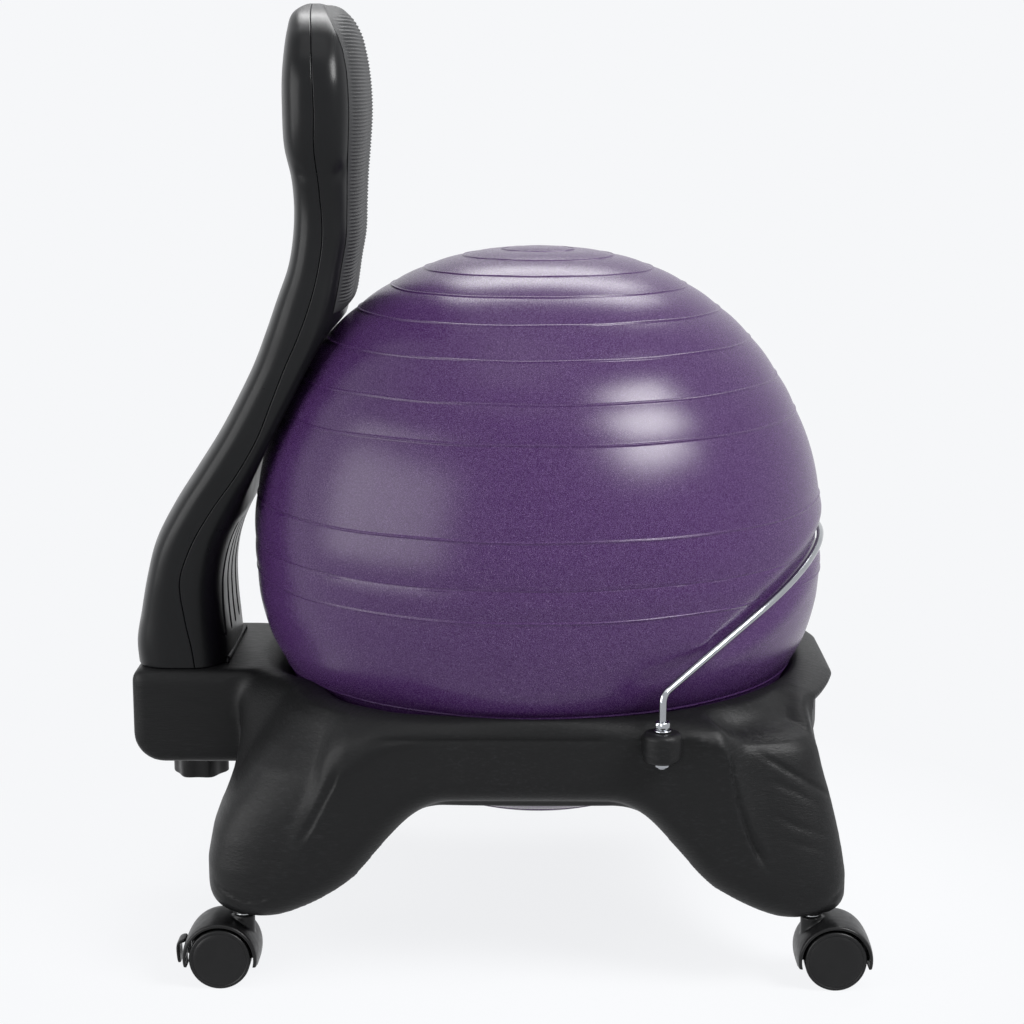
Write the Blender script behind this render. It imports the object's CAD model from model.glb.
import math

import bmesh
import bpy
import numpy as np
from mathutils import Matrix, Vector


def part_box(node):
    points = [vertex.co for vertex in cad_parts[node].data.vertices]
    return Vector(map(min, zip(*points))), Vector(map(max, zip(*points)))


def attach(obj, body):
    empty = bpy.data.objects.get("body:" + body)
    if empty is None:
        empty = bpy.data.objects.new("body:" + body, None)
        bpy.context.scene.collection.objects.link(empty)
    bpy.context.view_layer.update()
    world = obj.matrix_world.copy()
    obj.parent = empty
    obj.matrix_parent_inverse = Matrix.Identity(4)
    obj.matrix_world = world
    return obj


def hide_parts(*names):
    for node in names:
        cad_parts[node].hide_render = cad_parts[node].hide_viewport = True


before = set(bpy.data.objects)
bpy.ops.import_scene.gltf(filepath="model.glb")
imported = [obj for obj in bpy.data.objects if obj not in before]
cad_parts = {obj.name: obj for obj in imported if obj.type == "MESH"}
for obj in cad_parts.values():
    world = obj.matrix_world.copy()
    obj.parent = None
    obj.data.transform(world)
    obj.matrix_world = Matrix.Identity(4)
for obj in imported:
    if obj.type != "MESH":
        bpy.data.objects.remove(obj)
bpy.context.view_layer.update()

# Sizes are in metres, in the chair's own frame: +X is its front, +Y its left side and +Z up.

# Ball
BALL_RADIUS = 0.248
BALL_COLUMNS = 720
BALL_ROWS = 181
BALL_BAND_SWELL = 0.0008
BALL_RIDGE_HEIGHT = 0.0009
BALL_RIDGE_WIDTH = 0.00072
# Rows on either side of a ridge, and their distance as a share of its width
BALL_RIDGE_ROWS = 6
BALL_RIDGE_STEP = 0.6
# Each ring wavers a little round the ball: waves in a turn, and how far
BALL_WAVERS = ((3, 0.0005), (11, 0.00025))
# The mould seam is a fine broken ridge beside a fine groove
BALL_SEAM_NICK = 0.0007
BALL_NICK_WAVES = ((23, 1.3), (9, 0))
BALL_NICK_LEVEL = 0.25
BALL_SEAM_DEPTH = 0.0005
BALL_SEAM_OFFSET = 0.001
BALL_SEAM_WIDTH = 0.0006
# Height above the middle and radius of each raised ring in the upper half
BALL_RINGS = (
    (0.1099, 0.2238), (0.1399, 0.2073), (0.1713, 0.1836), (0.1964, 0.1566), (0.2161, 0.1281),
    (0.2305, 0.0988), (0.241, 0.065), (0.2458, 0.0312),
)
# Heights of the rings round the middle, with the mould seam second
BALL_MIDDLE_RINGS = (0.037, -0.0024, -0.0267)
# How far the ball stands out past a sphere over the latitude, in degrees
BALL_SWELL = (
    (-90, 0), (-34, 0), (-26, 0.0005), (-20, 0.0025), (-12, 0.002), (-5, 0), (9, 0), (26, 0.0005),
    (34, 0.0012), (43, 0.0023), (59, 0.0024), (67, 0.002), (75, 0.0008), (83, -0.001), (90, -0.001),
)
# The bar's groove in the ball: the gap under the bar, the most that it presses in, its flat half width and
# its slopes, and then the bulge beside it
GROOVE_GAP = 0.0012
GROOVE_MOST = 0.02
GROOVE_FLAT = 0.004
GROOVE_SLOPE = 0.011
BULGE_HEIGHT = 0.0007
BULGE_OFFSET = 0.024
BULGE_WIDTH = 0.009
BULGE_FULL_PRESS = 0.003
# Soft folds beside the bar's feet: from and to (x from the ball's axis, z), depth and width
BALL_FOLDS = (
    ((0.16, 0.296), (0.085, 0.252), 0.0013, 0.0042),
    ((0.19, 0.305), (0.11, 0.272), 0.001, 0.0038),
    ((0.128, 0.283), (0.058, 0.246), 0.0008, 0.0045),
)
FOLD_STEPS = 8
FOLD_FADE = 0.03

# Base body
RIM_HEIGHT = 0.2295
BASE_HALF_LENGTH = 0.2635
BASE_HALF_WIDTH = 0.238
LEG_SETBACK = 0.0085
LEG_CORNER_REACH = 0.333
LEG_UNDERSIDE = 0.061
LEG_BOTTOM_ROUND = 0.02
HOLE_RADIUS = 0.168
HOLE_UNDERSIDE = 0.14
HOLE_RIM = 0.0015
DISH_GAP = 0.0015
DISH_CREST_DROP = 0.014
# The dish's rounded crest widens from the first to the second radius where the wall stands further out than
# the start, over the span, and less at the front
DISH_CREST_RADII = (0.231, 0.245)
CREST_ROOM_START = 0.243
CREST_ROOM_SPAN = 0.03
CREST_FRONT_CUT = 0.85
ARCH_HEIGHT = 0.158
ARCH_EVENING = 0.035
SIDE_ROLL_DROP = 0.015
FRONT_ROLL_DROP = 0.008
# Shares of the rolled edge's reach and fall that come evenly, and not along a quarter circle
ROLL_EVEN_REACH = 0.25
ROLL_EVEN_FALL = 0.12
SIDE_WALL_INSET = 0.0025
FRONT_WALL_INSET = 0.014
SIDE_TUCK_HEIGHT = 0.003
FRONT_TUCK_HEIGHT = 0.018
# The most that the tuck under the rolled edge, and then the lower rounding, take of the wall that is left
TUCK_MOST_SHARE = 0.4
ROUND_MOST_SHARE = 0.9
# Half width of the zone where the rear tables give way to the front ones, and the side tables to the end ones
TABLE_BLEND = 0.1
# The legs' walls lean in from this far off the middle on, fully after this much more
LEAN_START = 0.15
LEAN_SPAN = 0.07
BASE_RAYS = 480
BASE_VOXEL = 0.0022
BASE_SMOOTHING = 4
LIP_REACH = 0.2685
LIP_HALF_WIDTH = 0.062
LIP_HEIGHT = 0.0052
LIP_THICKNESS = 0.004
LIP_END_SHARE = 0.3
LIP_STEPS = 40
ARCH_SHARES = (
    (0, 1), (0.3, 1), (0.39, 0.885), (0.47, 0.66), (0.533, 0.465), (0.577, 0.32), (0.67, 0.165),
    (0.77, 0.045), (0.83, 0), (1, 0),
)
# How far the legs' shoulders have fallen, over the share of the way from the deck to the corner
REAR_LEG_FALL = (
    (0, 0), (0.12, 0.0006), (0.24, 0.0035), (0.36, 0.011), (0.455, 0.0195), (0.625, 0.034), (0.76, 0.0475),
    (0.84, 0.062), (0.909, 0.0785), (0.965, 0.1005), (1, 0.128),
)
FRONT_LEG_FALL = (
    (0, 0), (0.12, 0.001), (0.2, 0.006), (0.27, 0.013), (0.36, 0.0175), (0.5, 0.0205), (0.64, 0.0245),
    (0.72, 0.034), (0.78, 0.0575), (0.88, 0.0905), (0.964, 0.1195), (1, 0.1365),
)
# How much of the legs' fall there is over the place along a side, from its middle to the corner
REAR_LEGWARD = (
    (0, 0), (0.3, 0), (0.38, 0.03), (0.473, 0.11), (0.563, 0.27), (0.624, 0.5), (0.685, 0.82), (0.75, 1),
    (1, 1),
)
FRONT_LEGWARD = ((0, 0), (0.5, 0), (0.59, 0.06), (0.62, 0.25), (0.65, 0.6), (0.7, 0.9), (0.75, 1), (1, 1))
# The same along the rear and the front end
REAR_END_LEGWARD = ((0, 0), (0.36, 0), (0.45, 0.2), (0.55, 0.6), (0.65, 1), (1, 1))
FRONT_END_LEGWARD = ((0, 0), (0.62, 0), (0.72, 0.12), (0.8, 0.5), (0.88, 1), (1, 1))
# Reach of the deck's front and rear edges over the angle off the chair's length, in degrees
FRONT_EDGE = (
    (0, 0.2603), (8, 0.261), (16, 0.2622), (22, 0.264), (30, 0.267), (34, 0.269), (40, 0.276), (48, 0.293),
    (60, 0.32), (90, 0.35),
)
REAR_EDGE = ((0, 0.256), (10, 0.26), (20, 0.271), (26, 0.28), (32, 0.292), (40, 0.31), (60, 0.35), (90, 0.36))
# How far the legs' front and rear faces lean in toward the middle, over the height
FRONT_LEAN = (
    (0.061, 0), (0.13, 0), (0.157, 0.001), (0.178, 0.003), (0.2, 0.004), (0.215, 0.003), (0.24, 0.003),
)
REAR_LEAN = (
    (0.061, 0), (0.105, 0), (0.125, 0.0025), (0.136, 0.005), (0.146, 0.0085), (0.157, 0.0125), (0.167, 0.017),
    (0.178, 0.02), (0.2, 0.022), (0.24, 0.022),
)
# Creases pressed into the sides: places as (x from the ball's axis, z), depth and width
SIDE_CREASES = (
    (((-0.132, 0.2122), (-0.109, 0.2135), (-0.05, 0.2137), (0, 0.2137), (0.064, 0.2137)), 0.003, 0.0024),
    (((0.153, 0.204), (0.1566, 0.182), (0.161, 0.157), (0.1695, 0.134), (0.183, 0.107)), 0.0038, 0.0024),
    (((0.176, 0.199), (0.197, 0.186), (0.222, 0.17), (0.243, 0.157)), 0.0017, 0.0022),
    (((0.18, 0.18), (0.205, 0.168), (0.228, 0.153)), 0.0008, 0.0025),
    (((0.185, 0.15), (0.208, 0.141), (0.236, 0.128)), 0.0009, 0.0025),
    (((0.195, 0.132), (0.215, 0.124), (0.24, 0.114)), 0.0006, 0.0022),
    (((-0.157, 0.19), (-0.165, 0.176), (-0.173, 0.16), (-0.183, 0.142), (-0.19, 0.128)), 0.0028, 0.0028),
    (((-0.263, 0.09), (-0.25, 0.083), (-0.235, 0.078), (-0.222, 0.08), (-0.208, 0.087)), 0.002, 0.002),
    (((-0.263, 0.081), (-0.245, 0.074), (-0.232, 0.068)), 0.0013, 0.0018),
    (((0.251, 0.085), (0.24, 0.078), (0.222, 0.074)), 0.0009, 0.002),
)
BLOCK_CREASE = (
    (-0.333, 0.2125), (-0.318, 0.2095), (-0.306, 0.204), (-0.292, 0.2), (-0.275, 0.1965), (-0.263, 0.19),
    (-0.256, 0.181), (-0.253, 0.172),
)
BLOCK_CREASE_DEPTH = 0.0013
BLOCK_CREASE_WIDTH = 0.0028
# A crease's reach, how far its push dips on the way in, and the fading toward its ends, down to a last share
CREASE_REACH = 0.03
CREASE_DIP = 0.02
CREASE_FADE = 0.015
CREASE_END_SHARE = 0.15

# Rear block
BLOCK_REACH = 0.348
BLOCK_HALF_WIDTH = 0.09
BLOCK_UNDERSIDE = 0.147
BLOCK_INNER_REACH = 0.233
BLOCK_EDGE_ROUND = 0.01
BLOCK_HEEL_ROUND = 0.026
# The middle and half sizes of the zone where the block is smoothed into the rear legs, the rounds, each
# round's share and how fast that share grows in from the zone's edge
BLOCK_FLOW_CENTRE = (-0.232, 0.115, 0.205)
BLOCK_FLOW_REACH = (0.04, 0.06, 0.055)
BLOCK_FLOW_ROUNDS = 60
BLOCK_FLOW_SHARE = 0.5
BLOCK_FLOW_RISE = 1.6

# Bar
BAR_RADIUS = 0.003
BAR_FOOT_X = 0.097
BAR_FOOT_Y = 0.245
BAR_FOOT_TOP = 0.254
BAR_TILT = 29.8
BAR_BEND_RADIUS = 0.011
BAR_DENT = 0.0045
BAR_ARC_STEPS = 90
BAR_STEPS = 12
BAR_END_TAPER = 0.8
CAP_DOME = 0.0025
BOSS_RADIUS = 0.0155
BOSS_EDGE_ROUND = 0.005
BOSS_TOP = 0.224
BOSS_UNDERSIDE = 0.1996

# Backrest
BACK_FOOT = 0.2298
BACK_HEIGHT = 0.5572
BACK_REAR = 0.346
BACK_SWEEP = 0.198
BACK_HALF_WIDTH = 0.104
BACK_SQUARENESS = 3.8
BACK_BALL_GAP = 0.005
SEAM_GAP = 0.0004
SEAM_ROUND = 0.0009
SHELL_COLUMNS = 120
OUTLINE_STEPS = 2881
OUTLINE_PROBE = 0.0002
# Places over a shell's rounded edge along the seam, as shares of its round
SEAM_EDGE_STEPS = (0, 0.1, 0.25, 0.45, 0.7, 1.0, 1.6)
# Rows of the shells: shares of the foot's round, then even rows between two shares of the height, then rows
# that come closer together toward the top
FOOT_ROWS = (0, 0.08, 0.25, 0.5, 0.8)
EVEN_ROWS = (0.0024, 0.93, 150)
TOP_ROWS = 30
TOP_CROWDING = 1.7
BACK_FOOT_ROUND = 0.0006
BACK_TOP_ROUND = 0.009
SLOT_SHARP_ANGLE = 35
SLOT_COUNT = 5
SLOT_PITCH = 0.025
SLOT_WIDTH = 0.006
SLOT_HEIGHTS = (0.2515, 0.351)
# How far each section of a slot stands off the face, and how much wider it is on either side
SLOT_FLARES = ((0.005, 0.0016), (0, 0.0011), (-0.0006, 0.0003), (-0.0012, 0), (-0.03, 0))
PANEL_SHARES = (0.545, 0.997)
PANEL_HALF_WIDTH = 0.088
PANEL_THICKNESS = 0.0042
PANEL_LIFT = 0.0004
PANEL_COLUMNS = 64
PANEL_SPREAD = 0.7
PANEL_CROWN_POWER = 9
# Share of the head's width that the pad covers, over the share of the backrest's height
PANEL_COVER = ((0, 0.84), (0.9, 0.84), (0.93, 0.87), (0.96, 0.945), (0.982, 0.975), (1, 0.975))
# Shares of the pad's height over which its lower and its upper end are rounded
PANEL_END_ROUNDS = (0.035, 0.012)
RIB_PITCH = 0.0029
RIB_HEIGHT = 0.0012
RIB_STEPS = 6
# The ribs come up over a span from a start near the pad's ends, fade over a span near its sides, and have a
# lower share in the middle that grows to full over a span
RIB_END_START, RIB_END_SPAN = 0.02, 0.03
RIB_SIDE_END, RIB_SIDE_SPAN = 0.93, 0.035
RIB_MIDDLE_SHARE, RIB_MIDDLE_SPAN = 0.35, 0.5

# Short creases under the head's shoulders, as (x from the ball's axis, y, z), and the x that they point to
SHOULDER_CREASES = (
    ((-0.206, 0.09, 0.658), (-0.201, 0.093, 0.654), (-0.192, 0.094, 0.6475), (-0.184, 0.094, 0.645)),
    ((-0.172, 0.094, 0.645), (-0.163, 0.09, 0.649), (-0.154, 0.082, 0.66)),
)
SHOULDER_DEPTH = 0.003
SHOULDER_WIDTH = 0.0045
SHOULDER_MIDDLE = -0.176

# Height, rear face, front face, half width and parting seam, in shares, from the foot to the top
BACK_PROFILE_SHARES = (
    (0, -0.012, 0.4, 0.79, 0.67),
    (0.03, -0.017, 0.392, 0.795, 0.66),
    (0.08, 0.008, 0.379, 0.81, 0.59),
    (0.138, 0.042, 0.381, 0.84, 0.51),
    (0.193, 0.087, 0.419, 0.87, 0.54),
    (0.25, 0.172, 0.5, 0.91, 0.575),
    (0.306, 0.275, 0.596, 0.95, 0.62),
    (0.361, 0.375, 0.682, 0.975, 0.62),
    (0.417, 0.462, 0.763, 0.985, 0.56),
    (0.47, 0.535, 0.833, 0.955, 0.52),
    (0.51, 0.578, 0.88, 0.91, 0.535),
    (0.562, 0.63, 0.918, 0.86, 0.565),
    (0.614, 0.682, 0.942, 0.82, 0.565),
    (0.655, 0.702, 0.963, 0.81, 0.55),
    (0.7, 0.71, 0.969, 0.825, 0.52),
    (0.745, 0.702, 0.975, 0.88, 0.485),
    (0.787, 0.678, 0.985, 0.95, 0.48),
    (0.844, 0.672, 0.994, 1, 0.485),
    (0.893, 0.674, 0.987, 0.99, 0.48),
    (0.93, 0.682, 0.972, 0.9, 0.47),
    (0.96, 0.692, 0.95, 0.75, 0.46),
    (0.982, 0.704, 0.915, 0.52, 0.45),
    (1, 0.735, 0.862, 0.2, 0.42),
)

# Casters
AXLE_HEIGHT = 0.025
CASTER_TRAIL = 0.018
HOOD_TOP = 0.0573
HOOD_INNER = 0.0274
HOOD_START = -13.5
HOOD_VOXEL = 0.0008
HOOD_SMOOTHING = 4
SHARP_ANGLE = 50
WELL_REACH = 0.03
WEB_HALF = 0.004
WEB_BORE = 0.0036
WEB_ROUND = 0.0012
NECK_RADIUS = 0.009
NECK_FOOT = 0.012
# The hood's section, as (y, radius) round its rim
HOOD_SECTION = (
    (-0.0225, 0.0276), (-0.0225, 0.029), (-0.0218, 0.0298), (-0.02, 0.0303), (-0.015, 0.0308),
    (-0.008, 0.0311), (0, 0.0312), (0.008, 0.0311), (0.015, 0.0308), (0.02, 0.0303), (0.0218, 0.0298),
    (0.0225, 0.029), (0.0225, 0.0276), (0.022, 0.0268), (0.012, 0.0266), (0, 0.0266), (-0.012, 0.0266),
    (-0.022, 0.0268),
)
BRAKE_HALF_WIDTH = 0.0085
BRAKE_PIVOT_REACH = 0.0292
BRAKE_PIVOT_RISE = 0.0105
BRAKE_HALF_THICKNESS = 0.001472
# The pedal's middle line out from its pivot, and its narrower start
BRAKE_LINE = (
    (0, 0), (0.0041, -0.0009), (0.00596, -0.00227), (0.0066, -0.00537), (0.0066, -0.00987),
    (0.00564, -0.01972),
)
BRAKE_START_SHARE = 0.86
# Powers that square off the pedal's section
BRAKE_SIDE_POWER = 0.25
BRAKE_FACE_POWER = 0.6
# The notch for the pedal in the hood: its low and high corners from the pedal's pivot, with its side gap
NOTCH_GAP = 0.0006
NOTCH_REACH = (-0.0045, 0.02)
NOTCH_HEIGHTS = (-0.03, BRAKE_PIVOT_RISE + 0.0034)
WHEEL_BORE = 0.0035
# A wheel's two rims, as distances in from its radius and from its face
WHEEL_INNER_RIM = ((0.0016, 0), (0.00048, 0.00048), (0, 0.0016))
WHEEL_OUTER_RIM = (
    (0, 0.00192), (0.00048, 0.00056), (0.00176, 0.0002), (0.0027, 0.0004), (0.0031, 0.0011), (0.0036, 0.0005),
)
# A wheel's slightly domed outer face: the dome's height, the face's depth and the radii of its steps
WHEEL_DOME = 0.0004
WHEEL_FACE_DEPTH = 0.0005
WHEEL_FACE_RADII = (0.018, 0.014, 0.01, 0.006, 0.003)
# A stem's pin, its collar and its grip, and a socket's bore, sleeve and flange
PIN_RADIUS = 0.004
PIN_EDGE = 0.0004
COLLAR_HEIGHTS = (0.0572, 0.0586)
COLLAR_EDGE = 0.0003
GRIP_RADIUS = 0.0055
CUP_BORE = 0.0058
CUP_SLEEVE = 0.0075
CUP_FLANGE = 0.0015
CUP_EDGE = 0.0005

# Knob
KNOB_LOBES = 6
KNOB_VALLEY = 0.003
KNOB_LOBE_POWER = 0.8
KNOB_EDGE = 0.0018
KNOB_HUB_RADIUS = 0.013
KNOB_HUB_HEIGHT = 0.013
KNOB_HUB_FLARE = 0.0015
KNOB_RECESS = (0.0117, 0.003)
KNOB_COLUMNS = 240

# A screw's crossed recess and its rounded head: radii and depths from its face
SCREW_RECESS = ((0, -0.0022), (0.0009, -0.0022), (0.0011, 0.0001))
SCREW_DOME = 0.0012
SCREW_HEAD = 0.0026
SCREW_RADIUS = 0.0018

# Light
GROUND_COLOR = (0.922, 0.93, 0.947)
FLOOR_HALF = 9
FLOOR_ROUGHNESS = 0.95
FLOOR_DARKER = 0.985
WORLD_LIGHT = 0.33
# Distances from the middle between which the paper's own shading gives way, and its least share
FLOOR_BLEND = (0.15, 0.6)
FLOOR_GLOW = 0.9
# Height of the place over the floor that the lights point at
LIGHT_MIDDLE = 0.35
# Soft boxes: azimuth off the camera's side, elevation, distance, size and power
LIGHTS = (
    ("key", 55, 41, 2.6, (1.15, 1.0), 104),
    ("back", 174, 54, 2.6, (1.9, 0.8), 44),
    ("side", -62, 9, 2.7, (2.6, 2.1), 80),
    ("overhead", -20, 72, 2.8, (1.5, 1.5), 8),
)

# Camera, worked out from the photograph
CAMERA_DISTANCE = 1.901
CAMERA_HEIGHT = 0.727
CAMERA_OFFSET = -0.0063
CAMERA_PITCH = 11.2
CAMERA_YAW = 0.5
CAMERA_LENS = 77.34
CAMERA_SENSOR = 36

# Places read from the frame
plug_low, plug_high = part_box("ball_valve_plug")
AXIS_X = (plug_low.x + plug_high.x) / 2
BALL_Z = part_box("ball_shell")[1].z - BALL_RADIUS
knob_low, knob_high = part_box("knob_stud")
KNOB_X = (knob_low.x + knob_high.x) / 2


# Mesh helpers

def linked(name, data):
    obj = bpy.data.objects.new(name, data)
    bpy.context.scene.collection.objects.link(obj)
    return obj


def smooth_all(obj):
    obj.data.polygons.foreach_set("use_smooth", [True] * len(obj.data.polygons))


def add_object(name, points, faces):
    mesh = bpy.data.meshes.new(name)
    mesh.from_pydata([tuple(p) for p in points], [], [tuple(f) for f in faces])
    mesh.validate()
    mesh.update()
    return linked(name, mesh)


def reworked(obj, step):
    """Runs a step of mesh editing on an object's mesh."""
    mesh = bmesh.new()
    mesh.from_mesh(obj.data)
    step(mesh)
    mesh.to_mesh(obj.data)
    mesh.free()


def merge_close(obj, distance=1e-6):
    reworked(obj, lambda mesh: bmesh.ops.remove_doubles(mesh, verts=mesh.verts, dist=distance))


def recalculate(obj):
    reworked(obj, lambda mesh: bmesh.ops.recalc_face_normals(mesh, faces=mesh.faces))


def sharpened(obj, angle):
    """Marks the edges that turn by more than an angle as sharp."""
    def mark(mesh):
        for edge in mesh.edges:
            edge.smooth = not (edge.is_manifold and edge.calc_face_angle(0) > math.radians(angle))
    reworked(obj, mark)


def grid_faces(rows, columns, wrap_rows, wrap_columns):
    faces = []
    for i in range(rows if wrap_rows else rows - 1):
        k = (i + 1) % rows
        for j in range(columns if wrap_columns else columns - 1):
            n = (j + 1) % columns
            faces.append((i * columns + j, i * columns + n, k * columns + n, k * columns + j))
    return faces


def lofted(name, rings, wrap_rows=False, wrap_columns=True, caps=False):
    """A smooth skin through rings of points, with a fan on each end where caps is set."""
    rings = np.asarray(rings, float)
    rows, columns = rings.shape[:2]
    points = list(rings.reshape(-1, 3))
    faces = grid_faces(rows, columns, wrap_rows, wrap_columns)
    if caps:
        for row in (0, rows - 1):
            centre = len(points)
            points.append(rings[row].mean(axis=0))
            faces += [(centre, row * columns + j, row * columns + (j + 1) % columns) for j in range(columns)]
    obj = add_object(name, points, faces)
    smooth_all(obj)
    recalculate(obj)
    return obj


def turned(name, profile, segments=64, axis="Z", at=(0, 0, 0)):
    """A lathe body from (radius, height) points about an axis through a point."""
    turns = [2 * math.pi * i / segments for i in range(segments)]
    rings = [[(r * math.cos(turn), r * math.sin(turn), h) for r, h in profile] for turn in turns]
    obj = lofted(name, rings, wrap_rows=True, wrap_columns=False)
    merge_close(obj)
    upright = {"Z": Matrix.Identity(4), "Y": Matrix.Rotation(-math.pi / 2, 4, "X"),
               "X": Matrix.Rotation(math.pi / 2, 4, "Y")}[axis]
    obj.data.transform(Matrix.Translation(at) @ upright)
    recalculate(obj)
    return obj


def box_object(name, low, high):
    points = [(x, y, z) for x in (low[0], high[0]) for y in (low[1], high[1]) for z in (low[2], high[2])]
    faces = [(0, 1, 3, 2), (4, 6, 7, 5), (0, 4, 5, 1), (2, 3, 7, 6), (0, 2, 6, 4), (1, 5, 7, 3)]
    obj = add_object(name, points, faces)
    smooth_all(obj)
    recalculate(obj)
    return obj


def joined(name, parts):
    """Several closed bodies as one mesh object."""
    whole = bmesh.new()
    for part in parts:
        data = part.data
        whole.from_mesh(data)
        bpy.data.objects.remove(part)
        bpy.data.meshes.remove(data)
    mesh = bpy.data.meshes.new(name)
    whole.to_mesh(mesh)
    whole.free()
    return linked(name, mesh)


def apply_modifiers(obj):
    graph = bpy.context.evaluated_depsgraph_get()
    mesh = bpy.data.meshes.new_from_object(obj.evaluated_get(graph))
    old = obj.data
    obj.modifiers.clear()
    obj.data = mesh
    bpy.data.meshes.remove(old)


def melted(obj, voxel, rounds):
    """Joins a mesh's overlapping bodies into one skin with soft inner corners."""
    remesh = obj.modifiers.new("remesh", "REMESH")
    remesh.mode = "VOXEL"
    remesh.voxel_size = voxel
    smooth = obj.modifiers.new("smooth", "SMOOTH")
    smooth.factor = 0.5
    smooth.iterations = rounds
    apply_modifiers(obj)
    smooth_all(obj)


def cut_out(obj, cutter):
    cut = obj.modifiers.new("cut", "BOOLEAN")
    cut.operation = "DIFFERENCE"
    cut.object = cutter
    cut.solver = "EXACT"
    apply_modifiers(obj)
    bpy.data.objects.remove(cutter)


def vertices_of(obj):
    points = np.empty(len(obj.data.vertices) * 3)
    obj.data.vertices.foreach_get("co", points)
    return points.reshape(-1, 3)


def set_vertices(obj, points):
    obj.data.vertices.foreach_set("co", points.ravel())
    obj.data.update()


def smoothstep(values):
    t = np.clip(values, 0, 1)
    return t * t * (3 - 2 * t)


def blended(low, high, share):
    return low * (1 - share) + high * share


def table_at(table, place):
    return np.interp(place, *zip(*table))


def curve_through(table, at, column):
    """A smooth curve through a table's rows, where column 0 is the place."""
    table = np.asarray(table, float)
    x, y = table[:, 0], table[:, column]
    slopes = np.gradient(y, x)
    at = np.clip(np.asarray(at, float), x[0], x[-1])
    i = np.clip(np.searchsorted(x, at) - 1, 0, len(x) - 2)
    width = x[i + 1] - x[i]
    t = (at - x[i]) / width
    low = (1 + 2 * t) * (1 - t) ** 2 * y[i] + t * (1 - t) ** 2 * width * slopes[i]
    return low + t * t * (3 - 2 * t) * y[i + 1] + t * t * (t - 1) * width * slopes[i + 1]


def path_distance(points, path):
    """Distance from each point to the nearest stretch of a path, and where on it that is."""
    best = np.full(len(points), np.inf)
    nearest = np.zeros((len(points), 3))
    for start, end in zip(path[:-1], path[1:]):
        a, b = np.array(start), np.array(end)
        t = np.clip(((points - a) @ (b - a)) / ((b - a) @ (b - a)), 0, 1)
        place = a + t[:, None] * (b - a)
        distance = np.linalg.norm(points - place, axis=1)
        closer = distance < best
        best[closer] = distance[closer]
        nearest[closer] = place[closer]
    return best, nearest


def end_distance(points, path):
    return np.minimum(*(np.linalg.norm(points - np.array(end), axis=1) for end in (path[0], path[-1])))


# Materials

class Shader:
    """A node material with short calls for the nodes that this script uses."""

    def __init__(self, name, color, roughness, metallic=0.0, specular=0.5):
        self.material = bpy.data.materials.new(name)
        self.material.use_nodes = True
        self.nodes = self.material.node_tree.nodes
        self.links = self.material.node_tree.links
        self.surface = self.nodes["Principled BSDF"]
        for socket, value in (("Base Color", (*color, 1)), ("Roughness", roughness), ("Metallic", metallic),
                              ("Specular IOR Level", specular)):
            self.surface.inputs[socket].default_value = value
        self.place = self.nodes.new("ShaderNodeTexCoord").outputs["Object"]
        self.bump = None

    def put(self, socket, value):
        if hasattr(value, "links"):
            self.links.new(value, socket)
        else:
            socket.default_value = value

    def maths(self, operation, a, b):
        node = self.nodes.new("ShaderNodeMath")
        node.operation = operation
        self.put(node.inputs[0], a)
        self.put(node.inputs[1], b)
        return node.outputs[0]

    def vector(self, operation, a, b=(0, 0, 0)):
        node = self.nodes.new("ShaderNodeVectorMath")
        node.operation = operation
        self.put(node.inputs[0], a)
        self.put(node.inputs[1], b)
        return node.outputs["Value" if operation == "LENGTH" else "Vector"]

    def noise(self, scale, detail, roughness, vector=None):
        node = self.nodes.new("ShaderNodeTexNoise")
        node.inputs["Scale"].default_value = scale
        node.inputs["Detail"].default_value = detail
        node.inputs["Roughness"].default_value = roughness
        self.put(node.inputs["Vector"], self.place if vector is None else vector)
        return node.outputs["Fac"]

    def ranged(self, value, low, high, to_low, to_high):
        node = self.nodes.new("ShaderNodeMapRange")
        for name, number in (("From Min", low), ("From Max", high), ("To Min", to_low), ("To Max", to_high)):
            node.inputs[name].default_value = number
        self.put(node.inputs["Value"], value)
        return node.outputs["Result"]

    def mixed(self, factor, a, b):
        node = self.nodes.new("ShaderNodeMix")
        node.data_type = "RGBA"
        self.put(node.inputs["Factor"], factor)
        for socket, color in ((node.inputs["A"], a), (node.inputs["B"], b)):
            self.put(socket, (*color, 1) if isinstance(color, tuple) else color)
        return node.outputs["Result"]

    def add_bump(self, height, strength, distance):
        node = self.nodes.new("ShaderNodeBump")
        node.inputs["Strength"].default_value = strength
        node.inputs["Distance"].default_value = distance
        self.links.new(height, node.inputs["Height"])
        if self.bump is not None:
            self.links.new(self.bump, node.inputs["Normal"])
        self.bump = node.outputs["Normal"]
        self.links.new(self.bump, self.surface.inputs["Normal"])

    def color(self, value):
        self.put(self.surface.inputs["Base Color"], value)

    def roughness(self, value):
        self.put(self.surface.inputs["Roughness"], value)


# Most of a noise lies between these values
NOISE_RANGE = (0.3, 0.7)
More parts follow.
